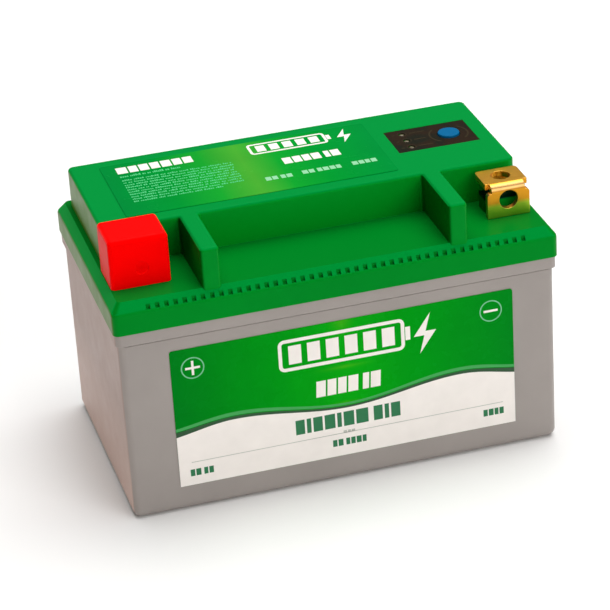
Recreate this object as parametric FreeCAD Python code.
"""Sealed 12 V lithium motorcycle battery, 150 x 87 x 93 mm.

The origin is the centre of the case's underside. +X runs towards the negative terminal, +Y towards
the rear (the labelled side faces -Y) and +Z is up. All lengths are in millimetres.
"""
import FreeCAD, Part
import math
import os

from FreeCAD import Vector

# ---- Outline of the battery ----------------------------------------------------------------------
LENGTH = 150.0            # cover skirt, left to right
DEPTH = 87.0              # cover skirt, front to rear
HEIGHT = 93.0             # underside of the case to the top of the raised block

# ---- Case ----------------------------------------------------------------------------------------
CASE_INSET = 1.3          # case wall behind the cover skirt
BAND_INSET = 0.45         # flange band under the skirt, behind the skirt
BAND_Z = (64.5, 68.6)
GROOVE_BOTTOM = 63.9      # groove that sets the band off from the wall below it
GROOVE_DEPTH = 0.5
CASE_WALL = 2.4
FLOOR = 2.5
CASE_CORNER = 2.4         # radius of the upright edges
CAVITY_CORNER = 1.2
CASE_FOOT = 3.0           # radius of the bottom edges
RIM_WALL = 1.7            # tongue that stands up inside the cover skirt
RIM_TOP = 75.4

# ---- Cover ---------------------------------------------------------------------------------------
SKIRT_BOTTOM = 68.7
SKIRT_WALL = 1.9
SKIRT_CORNER = 2.2
SKIRT_INNER_CORNER = 1.0
BEVEL_START = 76.0        # top of the skirt's upright face
BEVEL_SOFTNESS = 2.0      # rounding of the edge between skirt and shoulder
BEVEL_INSET = 2.6         # how far the shoulder leans in on its way up to the shelf
SHELF_TOP = 79.4          # ledge round the block and floor of the front recess
SHELF_CORNER = 1.6
COVER_WALL = 2.4
SHELF_UNDER = SHELF_TOP - COVER_WALL
BLOCK_HALF = 70.75        # half the length of the raised block
BLOCK_Y = (-14.4, 38.5)
BLOCK_CORNER = 2.2
BLOCK_EDGE = 1.1          # rounding of the block's top edges
INNER_CORNER = 1.0        # rounding of the recess corners
ROOT = 77.6               # the block, ribs and posts are rooted this low in the shelf
RIB_X = (38.3, 44.6)      # the two ribs that divide the front recess, mirrored in X
RIB_FRONT = -41.6
RIB_NOSE = 1.2            # rounding of the ribs' front edges
RIB_HOLLOW_WALL = 1.8
NOTCH_COUNT = 43          # grip notches along the front bevel
NOTCH_PITCH = 3.0
NOTCH_WIDTH = 1.4
NOTCH_Z = (76.3, 77.8)
NOTCH_BACK = -42.0

# ---- Terminals: bent strip brass, modelled on the right and mirrored to the left -----------------
TERMINAL_X = (55.7, 70.3)
TERMINAL_Y = (-29.6, -16.2)
TERMINAL_TOP = 91.0
STRIP = 2.0               # thickness of the brass strip
TERMINAL_BEND = 2.6       # outside radius of the bend
BEND_RELIEF = 1.5         # width of the notch at each end of the bend
TOP_CORNER = 1.5          # rounding of the flat top's rear corners
SHOULDER_CORNER = 1.2     # rounding of the front leg's upper corners
BOLT_HOLE = 3.25          # radius, clearance for an M6 screw
FRONT_HOLE = (63.0, 85.6)     # x, z
TOP_HOLE = (63.0, -21.7)      # x, y
TAIL_X = (59.5, 68.5)     # narrower strip that passes down through the cover
TAIL_Z = (72.5, 74.5)     # flat foot of the tail, inside the battery
TAIL_END = 0.5
TAIL_GAP = 0.15           # clearance round the tail in the cover
SHELF_GAP = 0.1           # the front leg and the loose cap clear the shelf by this much
GASKET_GAP = 0.3          # between the tail's foot and its gasket
GASKET_FIT = 0.05
GASKET_MARGIN = (3.0, 1.5)    # beyond the tail, towards the front and left, and to the rear
POST_X = (56.4, 69.8)     # moulded block that backs the terminal nut
POST_Y = (-25.0, -18.6)
POST_TOP = 85.2
POST_ROUND = 1.6

# ---- Cap over the positive terminal --------------------------------------------------------------
CAP_X = (-72.2, -52.4)
CAP_Y = (-32.4, -15.2)
CAP_TOP = 96.4
CAP_WALL = 1.6
CAP_REAR_WALL = 0.8
CAP_ROUND = 1.5
CAP_GRIP_HEIGHT = 1.1     # ribs that steady the cap on the terminal
CAP_GRIP_WIDTH = 1.5
CAP_GRIP_YS = (-28.3, -20.0)
CAP_GRIP_FOOT = 2.0       # how far above the cap's rim the ribs begin
CAP_DIMPLE = (-61.8, 85.8)    # x, z of the moulding dimple on the front
CAP_DIMPLE_RADIUS = 2.2
CAP_DIMPLE_DEPTH = 0.25

# ---- Charge indicator on top of the block --------------------------------------------------------
PANEL_X = (36.5, 65.1)
PANEL_Y = (4.0, 22.4)
PANEL_RECESS = 0.4
PANEL_THICK = 0.3
BUTTON_AT = (57.0, 13.2)
BUTTON_RADIUS = 3.75
BUTTON_TOP = 93.7
BUTTON_EDGE = 0.5         # rounding of the key's rim
BUTTON_GAP = 0.25         # radial gap in the cover
BUTTON_FLANGE = 5.2
BUTTON_FLANGE_Z = (89.6, 90.5)
BUTTON_STEM = 2.0
PLUNGER_TOP = 89.2
LED_X = 42.0
LED_PITCH = 5.5
LED_RADIUS = 1.0
LED_TOP = 92.8
LED_TIP = 0.6             # rounding of the lamp's tip
LED_GAP = 0.1
LED_FLANGE = 1.4
LED_FLANGE_HEIGHT = 1.0
BOARD_X = (35.5, 66.5)
BOARD_Y = (1.2, 25.2)
BOARD_Z = (85.0, 86.2)
BOARD_CORNER = 1.5
BOARD_SCREWS = [(38.0, 3.7), (64.0, 3.7), (38.0, 22.7), (64.0, 22.7)]
BOSS_RADIUS = 2.5         # screw bosses under the block's roof
BOSS_PILOT = 1.05
PILOT_ROOF = 0.4          # how far the pilot holes stop short of the boss's root
SCREW_SHANK = 0.95
SCREW_SHORT = 0.8         # how far the screws stop short of the boss's root
SCREW_CLEARANCE = 1.1
SCREW_HEAD = 1.9
SCREW_HEAD_HEIGHT = 1.3
SWITCH_SIZE = 6.0
SWITCH_CORNER = 0.4
SWITCH_FLOOR = 0.4
SWITCH_TOP = 88.4
SWITCH_WELL = 1.6         # radius of the well that the plunger slides in
PLUNGER_RADIUS = 1.5
PLUNGER_BOTTOM = 87.3
CONNECTOR_X = 8.0         # plug on the balance board for the indicator's wires
CONNECTOR_SIZE = (8.0, 7.0)
CONNECTOR_CORNER = 0.5
CONNECTOR_HEIGHT = 5.0
LEADS_X = 40.5            # where the wires meet the indicator board
LEADS_Y = 8.0
WIRE = 0.6                # radius of the indicator's wires
WIRE_OFFSET = 1.25        # half the spacing of the two wires
WIRE_RISE = 2.2           # upright length at both ends
WIRE_BEND = 1.2

# ---- Labels --------------------------------------------------------------------------------------
FRONT_LABEL_X = (-57.6, 58.9)
FRONT_LABEL_Z = (9.2, 59.5)
TOP_LABEL_X = (-60.8, 32.0)
TOP_LABEL_Y = (-9.0, 33.0)
FILM = 0.2
LABEL_CORNER = 1.0

# ---- Cell pack -----------------------------------------------------------------------------------
CELL_COUNT = 4
CELL_HALF = 61.0
CELL_THICK = 8.6
CELL_Z = (5.8, 66.0)      # body of the pouch
CELL_ROUND = 2.0
CELL_SEAL_TOP = 71.0
CELL_SEAL_THICK = 1.2
CELL_SEAL_HALF = 57.0
CELL_PITCH = 9.8
PACK_CENTRE_Y = 8.0
TAB_AT = 33.0             # tabs sit this far left and right of the centre
TAB_WIDTH = 24.0
TAB_THICK = 0.4
TAB_FOLD = 3.8
PAD_SHORT = 2.0           # the foam between cells stops short of the pouch's ends
PAD_SLACK = 0.05
BAND_GAP = 0.1
BAND_THICK = 0.3
BAND_CORNER = 1.0
BAND_HEIGHT = 12.0
BAND_HEIGHTS = {"cell_band_lower": 16.0, "cell_band_upper": 44.0}

# ---- Packing round the cells ---------------------------------------------------------------------
FOAM_WALL_GAP = 0.4       # between the foam and the case wall
FOAM_CELL_GAP = 0.6       # between the foam and the cells
FRONT_FOAM_HALF = 54.0
REAR_FOAM_HALF = 68.0
BASE_PAD_MARGIN = 0.5
BASE_PAD_SLACK = 0.2
BASE_PAD_CORNER = 1.0

# ---- Balance board and its conductors ------------------------------------------------------------
BALANCE_X = (-50.0, 58.5)
BALANCE_Y = (-12.6, 29.4)
BALANCE_Z = (72.4, 74.0)
BALANCE_CORNER = 2.0
INSULATOR_Z = (71.3, 71.9)
SLOT = (25.0, 1.4)        # tab slot, length and width
COPPER = 0.5
LINK_GAP = 0.2            # copper keeps this far from the slots
BUS_MARGIN = 0.6          # from the copper to the board's edge
BUS_END = 57.0
BUS_PAD_Y = {"positive": 1.0, "negative": 18.0}   # inner edge of the wide pads
BUS_NUT_AT = {"positive": (51.0, -4.0), "negative": (50.0, 24.0)}
BUS_NUT_HEIGHT = 2.0
TAIL_SCREW_Y = -5.0
LUG_RADIUS = 4.4
LUG_THICK = 0.8
LUG_BARREL = 2.6          # radius of the crimped barrel
LUG_BARREL_X = (5.0, 10.5)    # the barrel's span, from the ring's centre
LUG_CABLE_X = 6.5         # how near the ring's centre the cable ends
CABLE = 2.0               # radius of the power leads
CABLE_FIT = 0.05
# left edges of the columns, front edge of the first row, length and width, height
RESISTORS = ((-16.0, -11.5), -7.0, (3.2, 1.6), 0.6)
CHIPS = ((-6.0,), -8.0, (4.0, 4.0), 1.2)
M4_HOLE = 2.15
M4_SHANK = 2.0
M4_HEAD = 3.5
M4_HEAD_HEIGHT = 2.4
M4_SOCKET_FLATS = 2.5
M4_SOCKET_FLOOR = 1.0
M4_LENGTH = 6.0
M4_NUT_FLATS = 7.0
M4_NUT_HEIGHT = 3.0

# ---- Values worked out from the ones above -------------------------------------------------------
CASE_HALF = (LENGTH / 2 - CASE_INSET, DEPTH / 2 - CASE_INSET)
CAVITY_HALF = (CASE_HALF[0] - CASE_WALL, CASE_HALF[1] - CASE_WALL)
RIM_HALF = (CAVITY_HALF[0] + RIM_WALL, CAVITY_HALF[1] + RIM_WALL)
BLOCK_UNDER = HEIGHT - COVER_WALL
PANEL_BOTTOM = HEIGHT - PANEL_RECESS
TAIL_CENTRE = sum(TAIL_X) / 2
PACK_HALF = ((CELL_COUNT - 1) * CELL_PITCH + CELL_THICK) / 2
CELL_YS = [PACK_CENTRE_Y + CELL_PITCH * ((CELL_COUNT - 1) / 2 - k) for k in range(CELL_COUNT)]
COPPER_Z = (BALANCE_Z[1], BALANCE_Z[1] + COPPER)
BUS_NUT_Z = (COPPER_Z[1], COPPER_Z[1] + BUS_NUT_HEIGHT)
BUS_LUG_Z = BUS_NUT_Z[1]
TAIL_LUG_Z = TAIL_Z[1]
RELIEF_BOTTOM = TERMINAL_TOP - TERMINAL_BEND
LED_YS = [BUTTON_AT[1] + LED_PITCH * k for k in (1, 0, -1)]
PAST = 1.0                # cutting shapes run this far past the surface they cut
OVERLAP = 0.5             # joined shapes run this far into each other
TOLERANCE = 1e-4


# ---- Shape helpers -------------------------------------------------------------------------------
def box(x, y, z):
    """A box between the low and high value of each axis."""
    corner = Vector(x[0], y[0], z[0])
    return Part.makeBox(x[1] - x[0], y[1] - y[0], z[1] - z[0], corner)


def rod(x, y, z, radius):
    """An upright cylinder between two heights."""
    return Part.makeCylinder(radius, z[1] - z[0], Vector(x, y, z[0]), Vector(0, 0, 1))


def rod_along(start, end, radius):
    """A cylinder from one point to another."""
    axis = Vector(*end) - Vector(*start)
    return Part.makeCylinder(radius, axis.Length, Vector(*start), axis)


def hexagon(x, y, z, across_flats):
    """An upright hexagonal prism between two heights."""
    reach = across_flats / math.sqrt(3)
    corners = [
        Vector(x + reach * math.cos(turn), y + reach * math.sin(turn), z[0])
        for turn in (math.radians(60 * k) for k in range(7))
    ]
    return Part.Face(Part.makePolygon(corners)).extrude(Vector(0, 0, z[1] - z[0]))


def is_upright(edge):
    bounds = edge.BoundBox
    return bounds.XLength < TOLERANCE and bounds.YLength < TOLERANCE


def lies_at(edge, z):
    bounds = edge.BoundBox
    return abs(bounds.ZMin - z) < TOLERANCE and abs(bounds.ZMax - z) < TOLERANCE


def round_where(shape, radius, test):
    """Round every edge of the shape that the test picks."""
    return shape.makeFillet(radius, [edge for edge in shape.Edges if test(edge)])


def rounded_box(x, y, z, corner):
    """A box with rounded upright edges."""
    return round_where(box(x, y, z), corner, is_upright)


def centred_prism(half, z, corner):
    """A rounded box centred on the Z axis."""
    return rounded_box((-half[0], half[0]), (-half[1], half[1]), z, corner)


def outline(half, z, corner):
    """The closed outline of a centred rounded rectangle at one height."""
    slab = centred_prism(half, (z, z + 1), corner)
    base = [edge for edge in slab.Edges if lies_at(edge, z)]
    return Part.Wire(Part.__sortEdges__(base))


def mirrored(shape):
    """The shape on the other side of the battery's centre plane."""
    return shape.mirror(Vector(0, 0, 0), Vector(1, 0, 0))


def both_sides(shape):
    return [shape, mirrored(shape)]


def group(shapes):
    """Several separate solids kept as one node."""
    solids = [solid for shape in shapes for solid in shape.Solids]
    return Part.makeCompound(solids)


def cable(points, radius, bend):
    """A round wire that follows straight spans between the points, with bends of one radius."""
    path = [Vector(*point) for point in points]
    edges = []
    start = path[0]
    for before, corner, after in zip(path, path[1:], path[2:]):
        entry = (before - corner).normalize()
        leave = (after - corner).normalize()
        half_turn = entry.getAngle(leave) / 2
        setback = bend / math.tan(half_turn)
        arc_start = corner + entry * setback
        arc_end = corner + leave * setback
        middle = corner + (entry + leave).normalize() * (bend / math.sin(half_turn) - bend)
        edges.append(Part.makeLine(start, arc_start))
        edges.append(Part.Arc(arc_start, middle, arc_end).toShape())
        start = arc_end
    edges.append(Part.makeLine(start, path[-1]))
    end = Part.makeCircle(radius, path[0], path[1] - path[0])
    return Part.Wire(edges).makePipeShell([Part.Wire(end)], True, True)


# ---- Case and cover ------------------------------------------------------------------------------
def make_case():
    """Tub with a flange band, a groove under the band and a tongue that stands up inside the cover."""
    wall = centred_prism(CASE_HALF, (0, GROOVE_BOTTOM), CASE_CORNER)
    wall = round_where(wall, CASE_FOOT, lambda edge: lies_at(edge, 0))
    neck_half = (CASE_HALF[0] - GROOVE_DEPTH, CASE_HALF[1] - GROOVE_DEPTH)
    neck = centred_prism(neck_half, (GROOVE_BOTTOM - PAST, BAND_Z[0] + PAST), CASE_CORNER)
    band_half = (LENGTH / 2 - BAND_INSET, DEPTH / 2 - BAND_INSET)
    band = centred_prism(band_half, BAND_Z, CASE_CORNER)
    rim = centred_prism(RIM_HALF, (BAND_Z[1] - PAST, RIM_TOP), CASE_CORNER)
    cavity = centred_prism(CAVITY_HALF, (FLOOR, RIM_TOP), CAVITY_CORNER)
    return wall.fuse([neck, band, rim]).removeSplitter().cut(cavity)


def cover_base():
    """Skirt and the shoulder that leans in from it up to the shelf."""
    half = (LENGTH / 2, DEPTH / 2)
    inner = (half[0] - BEVEL_INSET, half[1] - BEVEL_INSET)
    skirt = centred_prism(half, (SKIRT_BOTTOM, BEVEL_START), SKIRT_CORNER)
    lower = outline(half, BEVEL_START, SKIRT_CORNER)
    upper = outline(inner, SHELF_TOP, SHELF_CORNER)
    base = skirt.fuse(Part.makeLoft([lower, upper], True, True)).removeSplitter()
    return round_where(base, BEVEL_SOFTNESS, lambda edge: lies_at(edge, BEVEL_START))


def is_rib_nose(edge):
    """Upright edge at the front of a rib."""
    return is_upright(edge) and edge.BoundBox.YMax < BLOCK_Y[0]


def is_rib_root(edge):
    """Upright corner where a rib meets the front of the block."""
    bounds = edge.BoundBox
    beside_rib = any(abs(abs(bounds.XMin) - x) < TOLERANCE for x in RIB_X)
    return is_upright(edge) and beside_rib and abs(bounds.YMin - BLOCK_Y[0]) < TOLERANCE


def cover_block():
    """Raised block and the two ribs that run forward from it."""
    z = (ROOT, HEIGHT)
    block = rounded_box((-BLOCK_HALF, BLOCK_HALF), BLOCK_Y, z, BLOCK_CORNER)
    rib = box(RIB_X, (RIB_FRONT, BLOCK_Y[0] + PAST), z)
    rib = round_where(rib, RIB_NOSE, is_rib_nose)
    block = block.fuse(both_sides(rib)).removeSplitter()
    block = round_where(block, INNER_CORNER, is_rib_root)
    return round_where(block, BLOCK_EDGE, lambda edge: lies_at(edge, HEIGHT))


def cover_notches():
    first = -NOTCH_PITCH * (NOTCH_COUNT - 1) / 2
    centres = [first + NOTCH_PITCH * k for k in range(NOTCH_COUNT)]
    half = NOTCH_WIDTH / 2
    y = (-DEPTH / 2 - PAST, NOTCH_BACK)
    return [box((x - half, x + half), y, NOTCH_Z) for x in centres]


def cover_hollows():
    """Everything removed from under the cover."""
    skirt_half = (LENGTH / 2 - SKIRT_WALL, DEPTH / 2 - SKIRT_WALL)
    skirt_z = (SKIRT_BOTTOM - PAST, SHELF_UNDER)
    below = centred_prism(skirt_half, skirt_z, SKIRT_INNER_CORNER)
    z = (SHELF_UNDER - PAST, BLOCK_UNDER)
    inner_x = BLOCK_HALF - COVER_WALL
    inner_y = (BLOCK_Y[0] + COVER_WALL, BLOCK_Y[1] - COVER_WALL)
    inside = box((-inner_x, inner_x), inner_y, z)
    rib_x = (RIB_X[0] + RIB_HOLLOW_WALL, RIB_X[1] - RIB_HOLLOW_WALL)
    rib = box(rib_x, (RIB_FRONT + RIB_HOLLOW_WALL, inner_y[0] + PAST), z)
    return [below, inside] + both_sides(rib)


def is_post_edge(edge):
    """Front edges of the post: the two upright ones and the one along its top."""
    bounds = edge.BoundBox
    return bounds.ZMax > POST_TOP - TOLERANCE and bounds.YMax < POST_Y[1] - TOLERANCE


def terminal_post():
    return round_where(box(POST_X, POST_Y, (ROOT, POST_TOP)), POST_ROUND, is_post_edge)


def tail_slot(clearance, z):
    """The strip's passage through the shelf, wider than the tail by the clearance on each side."""
    x = (TAIL_X[0] - clearance, TAIL_X[1] + clearance)
    y = (TERMINAL_Y[1] - STRIP - clearance, TERMINAL_Y[1] + clearance)
    return box(x, y, z)


def lamp_holes(z):
    return [rod(LED_X, y, z, LED_RADIUS + LED_GAP) for y in LED_YS]


def button_hole(z):
    return rod(*BUTTON_AT, z, BUTTON_RADIUS + BUTTON_GAP)


def make_cover():
    roof = (BLOCK_UNDER - PAST, HEIGHT + PAST)
    boss_z = (BOARD_Z[1], BLOCK_UNDER + OVERLAP)
    pilot_z = (BOARD_Z[1] - PAST, BLOCK_UNDER - PILOT_ROOF)
    bosses = [rod(x, y, boss_z, BOSS_RADIUS) for x, y in BOARD_SCREWS]
    pilots = [rod(x, y, pilot_z, BOSS_PILOT) for x, y in BOARD_SCREWS]
    slots = both_sides(tail_slot(TAIL_GAP, (SHELF_UNDER - PAST, SHELF_TOP + PAST)))
    recess = box(PANEL_X, PANEL_Y, (PANEL_BOTTOM, HEIGHT + PAST))
    openings = pilots + slots + lamp_holes(roof) + [button_hole(roof), recess]
    solid = cover_base().fuse([cover_block()] + both_sides(terminal_post())).removeSplitter()
    hollow = solid.cut(cover_hollows() + cover_notches())
    return hollow.fuse(bosses).cut(openings)


def make_cover_seal():
    """Bead between the top of the case rim and the underside of the cover."""
    z = (RIM_TOP, SHELF_UNDER)
    ring = centred_prism(RIM_HALF, z, CASE_CORNER)
    return ring.cut(centred_prism(CAVITY_HALF, z, CAVITY_CORNER))


# ---- Labels --------------------------------------------------------------------------------------
def make_front_label():
    face = -CASE_HALF[1]
    film = box(FRONT_LABEL_X, (face - FILM, face), FRONT_LABEL_Z)
    return round_where(film, LABEL_CORNER, lambda edge: edge.BoundBox.YLength > FILM / 2)


def make_top_label():
    return rounded_box(TOP_LABEL_X, TOP_LABEL_Y, (HEIGHT, HEIGHT + FILM), LABEL_CORNER)


# ---- Terminals and the positive cap --------------------------------------------------------------
def is_top_front_edge(edge):
    bounds = edge.BoundBox
    return lies_at(edge, TERMINAL_TOP) and abs(bounds.YMax - TERMINAL_Y[0]) < TOLERANCE


def is_on_side(edge):
    """Whether an edge lies in one of the terminal's two side faces."""
    bounds = edge.BoundBox
    return bounds.XLength < TOLERANCE and any(abs(bounds.XMin - x) < TOLERANCE for x in TERMINAL_X)


def is_rear_corner(edge):
    at_rear = abs(edge.BoundBox.YMax - TERMINAL_Y[1]) < TOLERANCE
    return is_on_side(edge) and is_upright(edge) and at_rear


def is_shoulder(edge):
    """Upper corner of the front leg, beside the bend."""
    return is_on_side(edge) and lies_at(edge, RELIEF_BOTTOM)


def terminal():
    """Strip folded over the post: front leg, top, rear leg, then a foot inside the battery."""
    x = TERMINAL_X
    front = (TERMINAL_Y[0], TERMINAL_Y[0] + STRIP)
    rear = (TERMINAL_Y[1] - STRIP, TERMINAL_Y[1])
    top_z = (TERMINAL_TOP - STRIP, TERMINAL_TOP)
    front_leg = box(x, front, (SHELF_TOP + SHELF_GAP, TERMINAL_TOP))
    top = box(x, TERMINAL_Y, top_z)
    rear_leg = box(TAIL_X, rear, (TAIL_Z[0], TERMINAL_TOP))
    foot = box(TAIL_X, (rear[0], TAIL_END), TAIL_Z)
    strip = front_leg.fuse([top, rear_leg, foot]).removeSplitter()
    strip = round_where(strip, TERMINAL_BEND, is_top_front_edge)
    relief_y = (TERMINAL_Y[0] - PAST, TERMINAL_Y[0] + TERMINAL_BEND)
    relief_z = (RELIEF_BOTTOM, TERMINAL_TOP + PAST)
    reliefs = [
        box((side, side + BEND_RELIEF), relief_y, relief_z) for side in (x[0], x[1] - BEND_RELIEF)
    ]
    strip = round_where(strip.cut(reliefs), SHOULDER_CORNER, is_shoulder)
    strip = round_where(strip, TOP_CORNER, is_rear_corner)
    hole_x, hole_z = FRONT_HOLE
    hole_start = (hole_x, front[0] - PAST, hole_z)
    hole_end = (hole_x, front[1] + PAST, hole_z)
    front_hole = rod_along(hole_start, hole_end, BOLT_HOLE)
    top_hole = rod(*TOP_HOLE, (top_z[0] - PAST, top_z[1] + PAST), BOLT_HOLE)
    tail_hole = rod(TAIL_CENTRE, TAIL_SCREW_Y, (TAIL_Z[0] - PAST, TAIL_Z[1] + PAST), M4_HOLE)
    return strip.cut([front_hole, top_hole, tail_hole])


def terminal_gasket():
    """Rubber gasket that closes the tail's slot from below."""
    z = (TAIL_Z[1] + GASKET_GAP, SHELF_UNDER)
    margin, rear_margin = GASKET_MARGIN
    y = (TERMINAL_Y[1] - STRIP - margin, TERMINAL_Y[1] + rear_margin)
    pad = box((TAIL_X[0] - margin, TAIL_X[1]), y, z)
    return pad.cut(tail_slot(GASKET_FIT, z))


def make_positive_terminal_cap():
    """Open-bottomed cap with two ribs inside that grip the terminal."""
    z = (SHELF_TOP + SHELF_GAP, CAP_TOP)
    outside = rounded_box(CAP_X, CAP_Y, z, CAP_ROUND)
    outside = round_where(outside, CAP_ROUND, lambda edge: lies_at(edge, CAP_TOP))
    ceiling = CAP_TOP - CAP_WALL
    inner_x = (CAP_X[0] + CAP_WALL, CAP_X[1] - CAP_WALL)
    inner_y = (CAP_Y[0] + CAP_WALL, CAP_Y[1] - CAP_REAR_WALL)
    inside = box(inner_x, inner_y, (z[0] - PAST, ceiling))
    rib_x = (inner_x[1] - CAP_GRIP_HEIGHT, inner_x[1] + OVERLAP)
    rib_z = (z[0] + CAP_GRIP_FOOT, ceiling + OVERLAP)
    ribs = [box(rib_x, (y, y + CAP_GRIP_WIDTH), rib_z) for y in CAP_GRIP_YS]
    x, height = CAP_DIMPLE
    dimple = rod_along(
        (x, CAP_Y[0] - PAST, height), (x, CAP_Y[0] + CAP_DIMPLE_DEPTH, height), CAP_DIMPLE_RADIUS
    )
    return outside.cut(inside).fuse(ribs).cut(dimple).removeSplitter()


# ---- Charge indicator ----------------------------------------------------------------------------
def make_indicator_overlay():
    film = box(PANEL_X, PANEL_Y, (PANEL_BOTTOM, PANEL_BOTTOM + PANEL_THICK))
    z = (PANEL_BOTTOM - PAST, HEIGHT)
    return film.cut(lamp_holes(z) + [button_hole(z)])


def make_test_button():
    """Key with a flange that keeps it in the cover and a stem that presses the switch."""
    key = rod(*BUTTON_AT, (BUTTON_FLANGE_Z[0], BUTTON_TOP), BUTTON_RADIUS)
    key = round_where(key, BUTTON_EDGE, lambda edge: lies_at(edge, BUTTON_TOP))
    flange = rod(*BUTTON_AT, BUTTON_FLANGE_Z, BUTTON_FLANGE)
    stem = rod(*BUTTON_AT, (PLUNGER_TOP, BUTTON_FLANGE_Z[1]), BUTTON_STEM)
    return key.fuse([flange, stem]).removeSplitter()


def make_switch_plunger():
    return rod(*BUTTON_AT, (PLUNGER_BOTTOM, PLUNGER_TOP), PLUNGER_RADIUS)


def make_switch_dome():
    """Snap dome under the plunger, a shallow spherical cap of thin steel."""
    radius, rise, sheet, gap = 1.45, 0.5, 0.1, 0.05
    ball = (radius ** 2 + rise ** 2) / (2 * rise)
    centre = Vector(*BUTTON_AT, PLUNGER_BOTTOM - gap - ball)
    shell = Part.makeSphere(ball, centre).cut(Part.makeSphere(ball - sheet, centre))
    return shell.common(rod(*BUTTON_AT, (PLUNGER_BOTTOM - rise, PLUNGER_BOTTOM), radius))


def make_switch_body():
    half = SWITCH_SIZE / 2
    x = (BUTTON_AT[0] - half, BUTTON_AT[0] + half)
    y = (BUTTON_AT[1] - half, BUTTON_AT[1] + half)
    well = rod(*BUTTON_AT, (BOARD_Z[1] + SWITCH_FLOOR, SWITCH_TOP + PAST), SWITCH_WELL)
    return rounded_box(x, y, (BOARD_Z[1], SWITCH_TOP), SWITCH_CORNER).cut(well)


def make_indicator_leds():
    leds = []
    for y in LED_YS:
        lens = rod(LED_X, y, (BOARD_Z[1], LED_TOP), LED_RADIUS)
        lens = round_where(lens, LED_TIP, lambda edge: lies_at(edge, LED_TOP))
        flange = rod(LED_X, y, (BOARD_Z[1], BOARD_Z[1] + LED_FLANGE_HEIGHT), LED_FLANGE)
        leds.append(lens.fuse(flange))
    return group(leds)


def make_indicator_board():
    z = (BOARD_Z[0] - PAST, BOARD_Z[1] + PAST)
    holes = [rod(x, y, z, SCREW_CLEARANCE) for x, y in BOARD_SCREWS]
    return rounded_box(BOARD_X, BOARD_Y, BOARD_Z, BOARD_CORNER).cut(holes)


def make_indicator_screws():
    screws = []
    for x, y in BOARD_SCREWS:
        shank = rod(x, y, (BOARD_Z[0], BLOCK_UNDER - SCREW_SHORT), SCREW_SHANK)
        head = rod(x, y, (BOARD_Z[0] - SCREW_HEAD_HEIGHT, BOARD_Z[0]), SCREW_HEAD)
        screws.append(shank.fuse(head))
    return group(screws)


def make_indicator_connector():
    half_x, half_y = CONNECTOR_SIZE[0] / 2, CONNECTOR_SIZE[1] / 2
    x = (CONNECTOR_X - half_x, CONNECTOR_X + half_x)
    y = (LEADS_Y - half_y, LEADS_Y + half_y)
    return rounded_box(x, y, (BALANCE_Z[1], BALANCE_Z[1] + CONNECTOR_HEIGHT), CONNECTOR_CORNER)


def make_indicator_leads():
    top = BOARD_Z[0]
    bottom = BALANCE_Z[1] + CONNECTOR_HEIGHT
    leads = []
    for y in (LEADS_Y - WIRE_OFFSET, LEADS_Y + WIRE_OFFSET):
        path = [
            (CONNECTOR_X, y, bottom),
            (CONNECTOR_X, y, bottom + WIRE_RISE),
            (LEADS_X, y, top - WIRE_RISE),
            (LEADS_X, y, top),
        ]
        leads.append(cable(path, WIRE, WIRE_BEND))
    return group(leads)


# ---- Cell pack -----------------------------------------------------------------------------------
def make_cell(index):
    """Pouch cell: a soft-edged body with a flat sealed skirt along its top."""
    y = CELL_YS[index]
    half = CELL_THICK / 2
    body = box((-CELL_HALF, CELL_HALF), (y - half, y + half), CELL_Z)
    body = body.makeFillet(CELL_ROUND, body.Edges)
    seal_half = CELL_SEAL_THICK / 2
    seal_x = (-CELL_SEAL_HALF, CELL_SEAL_HALF)
    seal = box(seal_x, (y - seal_half, y + seal_half), (CELL_Z[1] - CELL_ROUND, CELL_SEAL_TOP))
    return body.fuse(seal).removeSplitter()


def positive_side(index):
    """Cells face alternate ways, so the positive tab is left on even indexes and right on odd."""
    return -1 if index % 2 == 0 else 1


def tab_span(side):
    """The tab's extent along X, left (-1) or right (1) of the centre."""
    return (side * TAB_AT - TAB_WIDTH / 2, side * TAB_AT + TAB_WIDTH / 2)


def make_tabs(positive):
    """Positive tabs fold forwards and negative ones backwards, towards the copper that joins them."""
    turn = -1 if positive else 1
    top = (COPPER_Z[1], COPPER_Z[1] + TAB_THICK)
    tabs = []
    for index, y in enumerate(CELL_YS):
        side = positive_side(index) if positive else -positive_side(index)
        sheet = (y - TAB_THICK / 2, y + TAB_THICK / 2)
        upright = box(tab_span(side), sheet, (CELL_SEAL_TOP, top[1]))
        flap = box(tab_span(side), sorted((y, y + TAB_FOLD * turn)), top)
        tabs.append(upright.fuse(flap).removeSplitter())
    return group(tabs)


def make_cell_pad(index):
    """Foam sheet between two neighbouring cells."""
    y = (CELL_YS[index] + CELL_YS[index + 1]) / 2
    half = (CELL_PITCH - CELL_THICK) / 2 - PAD_SLACK
    x = (-CELL_HALF + PAD_SHORT, CELL_HALF - PAD_SHORT)
    return box(x, (y - half, y + half), (CELL_Z[0] + PAD_SHORT / 2, CELL_Z[1] - PAD_SHORT / 2))


def make_cell_band(low):
    """Glass-fibre tape round the four cells."""
    def loop(grow):
        x = CELL_HALF + grow
        y = PACK_HALF + grow
        span = (PACK_CENTRE_Y - y, PACK_CENTRE_Y + y)
        return rounded_box((-x, x), span, (low, low + BAND_HEIGHT), BAND_CORNER)

    return loop(BAND_GAP + BAND_THICK).cut(loop(BAND_GAP))


def make_base_pad():
    half = (CAVITY_HALF[0] - BASE_PAD_MARGIN, CAVITY_HALF[1] - BASE_PAD_MARGIN)
    return centred_prism(half, (FLOOR, CELL_Z[0] - BASE_PAD_SLACK), BASE_PAD_CORNER)


def make_front_foam():
    y = (-CAVITY_HALF[1] + FOAM_WALL_GAP, PACK_CENTRE_Y - PACK_HALF - FOAM_CELL_GAP)
    return box((-FRONT_FOAM_HALF, FRONT_FOAM_HALF), y, (CELL_Z[0], CELL_SEAL_TOP))


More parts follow.
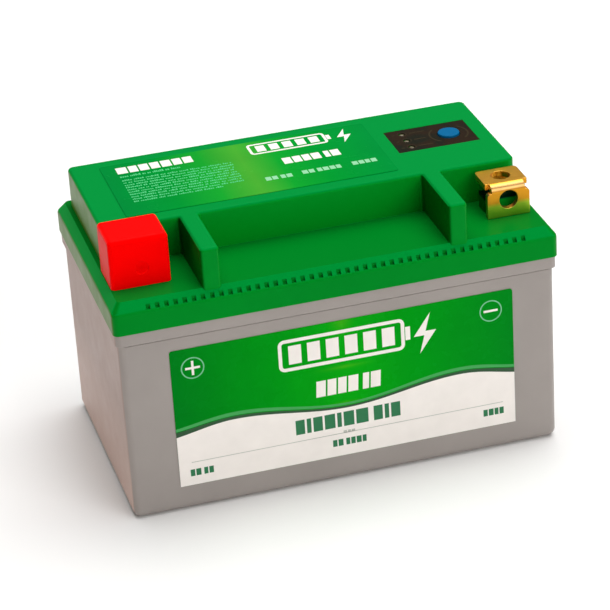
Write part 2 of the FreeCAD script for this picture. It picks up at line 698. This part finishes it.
def make_rear_foam():
    y = (PACK_CENTRE_Y + PACK_HALF + FOAM_CELL_GAP, CAVITY_HALF[1] - FOAM_WALL_GAP)
    return box((-REAR_FOAM_HALF, REAR_FOAM_HALF), y, (CELL_Z[0], CELL_SEAL_TOP))


def end_foam():
    x = (CELL_HALF + FOAM_CELL_GAP, CAVITY_HALF[0] - FOAM_WALL_GAP)
    return box(x, (PACK_CENTRE_Y - PACK_HALF, PACK_CENTRE_Y + PACK_HALF), CELL_Z)


# ---- Balance board and conductors ----------------------------------------------------------------
def slotted_sheet(z):
    """A sheet as large as the balance board, with a slot for each tab."""
    length, width = SLOT
    through = (z[0] - PAST, z[1] + PAST)
    slots = [
        box((x - length / 2, x + length / 2), (y - width / 2, y + width / 2), through)
        for x in (-TAB_AT, TAB_AT)
        for y in CELL_YS
    ]
    return rounded_box(BALANCE_X, BALANCE_Y, z, BALANCE_CORNER).cut(slots)


def make_series_link(index):
    """Copper bar that joins one cell's positive tab to the next cell's negative tab."""
    gap = SLOT[1] / 2 + LINK_GAP
    y = (CELL_YS[index + 1] + gap, CELL_YS[index] - gap)
    return box(tab_span(positive_side(index)), y, COPPER_Z)


def bus(strip_y, pad_y):
    """Copper strip under an end tab, with a wider pad for the lead."""
    tab_start, tab_end = tab_span(1)
    strip = box((tab_start, BUS_END), strip_y, COPPER_Z)
    pad = box((tab_end + PAST, BUS_END), pad_y, COPPER_Z)
    return strip.fuse(pad).removeSplitter()


def make_positive_bus():
    front = BALANCE_Y[0] + BUS_MARGIN
    slot_edge = CELL_YS[-1] - SLOT[1] / 2 - LINK_GAP
    return bus((front, slot_edge), (front, BUS_PAD_Y["positive"]))


def make_negative_bus():
    rear = BALANCE_Y[1] - BUS_MARGIN
    slot_edge = CELL_YS[0] + SLOT[1] / 2 + LINK_GAP
    return bus((slot_edge, rear), (BUS_PAD_Y["negative"], rear))


def make_bus_nuts():
    at_buses = BUS_NUT_AT.values()
    nuts = [hexagon(*at, BUS_NUT_Z, M4_NUT_FLATS).cut(rod(*at, BUS_NUT_Z, M4_HOLE)) for at in at_buses]
    return group(nuts)


def lug(x, y, z, direction):
    """Ring terminal: a flat ring at height z, its barrel turned by the direction in degrees."""
    axis_z = z + LUG_BARREL
    ring = rod(0, 0, (z, z + LUG_THICK), LUG_RADIUS)
    neck = box((0, LUG_CABLE_X), (-LUG_BARREL, LUG_BARREL), (z, z + LUG_THICK))
    barrel_start, barrel_end = LUG_BARREL_X
    barrel = rod_along((barrel_start, 0, axis_z), (barrel_end, 0, axis_z), LUG_BARREL)
    hole = rod(0, 0, (z - PAST, z + LUG_THICK + PAST), M4_HOLE)
    bore = rod_along((LUG_CABLE_X, 0, axis_z), (barrel_end + PAST, 0, axis_z), CABLE + CABLE_FIT)
    piece = ring.fuse([neck, barrel]).cut([hole, bore])
    piece.rotate(Vector(0, 0, 0), Vector(0, 0, 1), direction)
    piece.translate(Vector(x, y, 0))
    return piece


def make_positive_lead_lugs():
    at_tail = lug(-TAIL_CENTRE, TAIL_SCREW_Y, TAIL_LUG_Z, 0)
    at_bus = lug(*BUS_NUT_AT["positive"], BUS_LUG_Z, 180)
    return group([at_tail, at_bus])


def make_negative_lead_lugs():
    at_tail = lug(TAIL_CENTRE, TAIL_SCREW_Y, TAIL_LUG_Z, 90)
    at_bus = lug(*BUS_NUT_AT["negative"], BUS_LUG_Z, 0)
    return group([at_tail, at_bus])


def make_positive_lead():
    bus_x, bus_y = BUS_NUT_AT["positive"]
    low = TAIL_LUG_Z + LUG_BARREL
    high = BUS_LUG_Z + LUG_BARREL
    start_x = -TAIL_CENTRE + LUG_CABLE_X
    end_x = bus_x - LUG_CABLE_X
    path = [
        (start_x, TAIL_SCREW_Y, low),
        (start_x + 8.0, TAIL_SCREW_Y, low),
        (start_x + 22.0, TAIL_SCREW_Y, high + 1.5),
        (end_x - 24.0, bus_y, high + 1.5),
        (end_x - 8.0, bus_y, high),
        (end_x, bus_y, high),
    ]
    return cable(path, CABLE, 8.0)


def make_negative_lead():
    bus_x, bus_y = BUS_NUT_AT["negative"]
    low = TAIL_LUG_Z + LUG_BARREL
    high = BUS_LUG_Z + LUG_BARREL
    start_y = TAIL_SCREW_Y + LUG_CABLE_X
    path = [
        (TAIL_CENTRE, start_y, low),
        (TAIL_CENTRE, start_y + 7.5, low),
        (TAIL_CENTRE + 1.0, bus_y - 7.0, high),
        (TAIL_CENTRE + 1.0, bus_y, high),
        (bus_x + LUG_CABLE_X, bus_y, high),
    ]
    return cable(path, CABLE, 3.5)


def screw(x, y, under_head, length):
    shank = rod(x, y, (under_head - length, under_head), M4_SHANK)
    head = rod(x, y, (under_head, under_head + M4_HEAD_HEIGHT), M4_HEAD)
    socket_z = (under_head + M4_SOCKET_FLOOR, under_head + M4_HEAD_HEIGHT + PAST)
    return shank.fuse(head).cut(hexagon(x, y, socket_z, M4_SOCKET_FLATS))


def make_lead_screws():
    tail_head = TAIL_LUG_Z + LUG_THICK
    bus_head = BUS_LUG_Z + LUG_THICK
    at_tails = [screw(side * TAIL_CENTRE, TAIL_SCREW_Y, tail_head, M4_LENGTH) for side in (-1, 1)]
    at_buses = [screw(*at, bus_head, LUG_THICK + BUS_NUT_HEIGHT) for at in BUS_NUT_AT.values()]
    return group(at_tails + at_buses)


def make_lead_nuts():
    z = (TAIL_Z[0] - M4_NUT_HEIGHT, TAIL_Z[0])
    nut = hexagon(TAIL_CENTRE, TAIL_SCREW_Y, z, M4_NUT_FLATS)
    return group(both_sides(nut.cut(rod(TAIL_CENTRE, TAIL_SCREW_Y, z, M4_HOLE))))


def component_grid(columns, front_row, size, height):
    """Small components on the balance board: a row for each cell in each of the columns."""
    z = (BALANCE_Z[1], BALANCE_Z[1] + height)
    rows = [front_row + CELL_PITCH * k for k in range(CELL_COUNT)]
    return group([box((x, x + size[0]), (y, y + size[1]), z) for x in columns for y in rows])


# ---- All nodes -----------------------------------------------------------------------------------
def nodes():
    built = {
        "case": make_case(),
        "cover": make_cover(),
        "cover_seal": make_cover_seal(),
        "front_label": make_front_label(),
        "top_label": make_top_label(),
        "positive_terminal": mirrored(terminal()),
        "negative_terminal": terminal(),
        "positive_terminal_seal": mirrored(terminal_gasket()),
        "negative_terminal_seal": terminal_gasket(),
        "positive_terminal_cap": make_positive_terminal_cap(),
        "indicator_overlay": make_indicator_overlay(),
        "test_button": make_test_button(),
        "switch_plunger": make_switch_plunger(),
        "switch_dome": make_switch_dome(),
        "switch_body": make_switch_body(),
        "indicator_leds": make_indicator_leds(),
        "indicator_board": make_indicator_board(),
        "indicator_screws": make_indicator_screws(),
        "indicator_connector": make_indicator_connector(),
        "indicator_leads": make_indicator_leads(),
        "cell_positive_tabs": make_tabs(True),
        "cell_negative_tabs": make_tabs(False),
        "base_pad": make_base_pad(),
        "front_foam": make_front_foam(),
        "rear_foam": make_rear_foam(),
        "right_end_foam": end_foam(),
        "left_end_foam": mirrored(end_foam()),
        "top_insulator": slotted_sheet(INSULATOR_Z),
        "balance_board": slotted_sheet(BALANCE_Z),
        "balance_resistors": component_grid(*RESISTORS),
        "balance_chips": component_grid(*CHIPS),
        "positive_bus": make_positive_bus(),
        "negative_bus": make_negative_bus(),
        "bus_nuts": make_bus_nuts(),
        "positive_lead": make_positive_lead(),
        "negative_lead": make_negative_lead(),
        "positive_lead_lugs": make_positive_lead_lugs(),
        "negative_lead_lugs": make_negative_lead_lugs(),
        "lead_screws": make_lead_screws(),
        "lead_nuts": make_lead_nuts(),
    }
    for index in range(CELL_COUNT):
        built[f"cell_{index + 1}"] = make_cell(index)
    for index in range(CELL_COUNT - 1):
        built[f"cell_pad_{index + 1}"] = make_cell_pad(index)
        built[f"series_link_{index + 1}"] = make_series_link(index)
    for name, low in BAND_HEIGHTS.items():
        built[name] = make_cell_band(low)
    return built


os.makedirs("parts", exist_ok=True)
for node, shape in nodes().items():
    shape.exportStep(f"parts/{node}.step")
